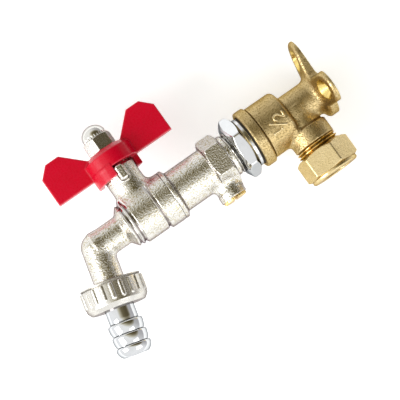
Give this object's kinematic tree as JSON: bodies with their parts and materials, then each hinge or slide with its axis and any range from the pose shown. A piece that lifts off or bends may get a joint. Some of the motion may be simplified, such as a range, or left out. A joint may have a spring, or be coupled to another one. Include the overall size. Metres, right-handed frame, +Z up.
{
  "type": "garden tap",
  "caption": "Quarter-turn ball-valve garden tap with a butterfly handle, hose connector, inlet check valves and a wall-plate compression elbow.",
  "frame": {"origin": "centre of the wall plate's back face, on the barrel's axis", "axes": "+X into the wall, along the barrel; +Z up, along the stem; the spout points to -X and down"},
  "size_m": [0.1493, 0.0538, 0.0997],
  "materials": {
    "red_handle": "satin red coating",
    "nickel_cast": "nickel plated over a sand-blasted casting",
    "nickel_satin": "satin nickel plating",
    "nickel_bright": "bright nickel plating",
    "polished_chrome": "polished chrome plating",
    "cast_brass": "sand-blasted brass casting",
    "turned_brass": "machined brass",
    "bright_brass": "bright brass",
    "dark_fibre": "dark sealing fibre",
    "black_rubber": "black nitrile rubber",
    "white_seat": "white fluoroplastic",
    "valve_plastic": "moulded acetal",
    "spring_steel": "stainless spring wire"
  },
  "bodies": {
    "tap": {"wall_plate_elbow": "cast_brass", "inlet_tail": "nickel_cast", "check_clips": "spring_steel", "valve_body": "nickel_cast", "body_joint_seal": "black_rubber", "ball_seat_front": "white_seat", "ball_seat_rear": "white_seat", "stem_thrust_washer": "white_seat", "check_cage_front": "valve_plastic", "check_cage_ring_front": "black_rubber", "check_spring_front": "spring_steel", "check_cage_rear": "valve_plastic", "check_cage_ring_rear": "black_rubber", "check_spring_rear": "spring_steel"},
    "handle": {"handle": "red_handle", "stem": "turned_brass", "stem_o_rings": "black_rubber", "handle_nut": "nickel_satin", "nut_dome_cap": "nickel_bright"},
    "ball": {"ball": "polished_chrome"},
    "front_poppet": {"check_poppet_front": "valve_plastic", "check_seal_front": "black_rubber"},
    "rear_poppet": {"check_poppet_rear": "valve_plastic", "check_seal_rear": "black_rubber"},
    "hose_tail": {"hose_tail": "polished_chrome", "hose_washer": "black_rubber"},
    "union_nut": {"union_nut": "nickel_satin"},
    "drain_seal": {"drain_plug_seal": "black_rubber"},
    "drain_plug": {"drain_plug": "bright_brass"},
    "sealing_washer": {"sealing_washer": "dark_fibre"},
    "back_nut": {"back_nut": "polished_chrome"},
    "olive": {"compression_olive": "turned_brass"},
    "compression_nut": {"compression_nut": "turned_brass"}
  },
  "joints": [
    {"name": "handle_turn", "type": "hinge", "parent": "tap", "child": "handle", "pos_m": [-0.0997, 0, 0], "axis": [0, 0, -1], "range_deg": [0, 90]},
    {"name": "ball_turn", "type": "hinge", "parent": "tap", "child": "ball", "pos_m": [-0.0997, 0, 0], "axis": [0, 0, -1], "range_deg": [0, 90]},
    {"name": "front_check_open", "type": "slide", "parent": "tap", "child": "front_poppet", "axis": [-1, 0, 0], "range_m": [0, 0.003], "stiffness_N_per_m": 300, "springref_m": -0.002, "deforming": ["check_spring_front"]},
    {"name": "rear_check_open", "type": "slide", "parent": "tap", "child": "rear_poppet", "axis": [-1, 0, 0], "range_m": [0, 0.003], "stiffness_N_per_m": 300, "springref_m": -0.002, "deforming": ["check_spring_rear"]},
    {"name": "hose_tail_drop", "type": "slide", "parent": "tap", "child": "hose_tail", "axis": [-0.247, 0, -0.969], "range_m": [0, 0.00635]},
    {"name": "union_nut_turn", "type": "hinge", "parent": "hose_tail", "child": "union_nut", "pos_m": [-0.128, 0, 0], "axis": [-0.247, 0, -0.969], "range_deg": [0, 1260]},
    {"name": "drain_seal_drop", "type": "slide", "parent": "tap", "child": "drain_seal", "axis": [0, 0, -1], "range_m": [0, 0.004]},
    {"name": "drain_plug_turn", "type": "hinge", "parent": "drain_seal", "child": "drain_plug", "pos_m": [-0.063, 0, 0], "axis": [0, 0, -1], "range_deg": [0, 1440]},
    {"name": "sealing_washer_slide", "type": "slide", "parent": "tap", "child": "sealing_washer", "axis": [-1, 0, 0], "range_m": [0, 0.00363]},
    {"name": "back_nut_turn", "type": "hinge", "parent": "sealing_washer", "child": "back_nut", "pos_m": [0, 0, 0], "axis": [-1, 0, 0], "range_deg": [0, 720]},
    {"name": "olive_drop", "type": "slide", "parent": "tap", "child": "olive", "axis": [0, 0, -1], "range_m": [0, 0.00816]},
    {"name": "compression_nut_turn", "type": "hinge", "parent": "olive", "child": "compression_nut", "pos_m": [-0.0179, 0, 0], "axis": [0, 0, -1], "range_deg": [0, 1620]}
  ],
  "couplings": [
    {"joint": "ball_turn", "follows": "handle_turn", "ratio": 1},
    {"joint": "union_nut_turn", "follows": "hose_tail_drop", "rad_per_m": 3463.7},
    {"joint": "drain_plug_turn", "follows": "drain_seal_drop", "rad_per_m": 6283.2},
    {"joint": "back_nut_turn", "follows": "sealing_washer_slide", "rad_per_m": 3463.7},
    {"joint": "compression_nut_turn", "follows": "olive_drop", "rad_per_m": 3463.7}
  ]
}
